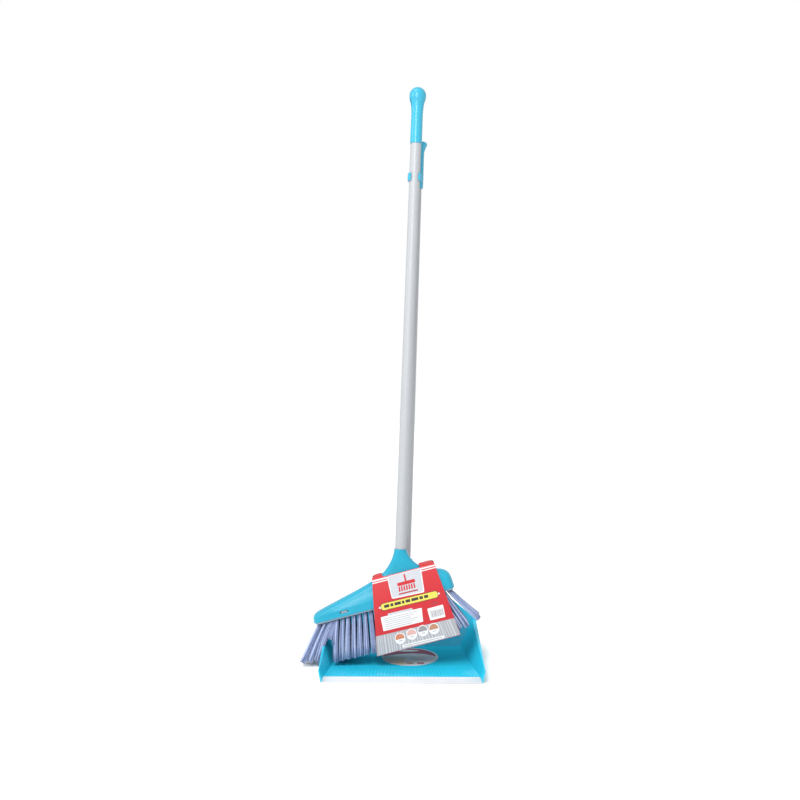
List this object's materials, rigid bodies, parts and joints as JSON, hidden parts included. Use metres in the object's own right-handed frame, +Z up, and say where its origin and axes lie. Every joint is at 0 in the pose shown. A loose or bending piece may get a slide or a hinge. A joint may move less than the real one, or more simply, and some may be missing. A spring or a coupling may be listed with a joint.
{
  "type": "dust pan and broom set",
  "caption": "Upright dust pan with a soft front lip and a long-handled angled broom clipped to its pole by a spring clip.",
  "frame": {"origin": "middle of the underside of the pan's floor, halfway between the lip and the back wall", "axes": "+Z up along the poles, -Y towards the pan's lip, +X to the right seen from the lip"},
  "size_m": [0.3098, 0.2233, 0.9954],
  "materials": {
    "blue_plastic": "gloss",
    "grip_plastic": "gloss",
    "soft_lip": "satin",
    "painted_tube": "satin",
    "dark_plastic": "matte",
    "grey_plastic": "matte",
    "filament": "satin",
    "wire": "satin",
    "red_card": "satin",
    "label": "satin"
  },
  "bodies": {
    "pan": {"pan": "blue_plastic", "pan_lip": "soft_lip", "pan_label": "label", "pan_pole": "painted_tube", "pan_pole_insert": "dark_plastic", "pan_grip": "blue_plastic", "pan_clip": "blue_plastic"},
    "broom": {"broom_pole": "painted_tube", "broom_grip": "grip_plastic", "broom_pole_insert": "dark_plastic", "broom_head": "blue_plastic", "bristle_block": "grey_plastic", "tufts_row_1": "filament", "tufts_row_2": "filament", "tufts_row_3": "filament", "tufts_row_4": "filament", "tufts_ends": "filament", "staples_row_1": "wire", "staples_row_2": "wire", "staples_row_3": "wire", "staples_row_4": "wire", "card_sleeve": "red_card"}
  },
  "joints": [
    {"name": "broom_release", "type": "slide", "parent": "pan", "child": "broom", "axis": [0, -0.9848, 0.1736], "range_m": [0, 0.3], "deforming": ["pan_clip"]}
  ]
}
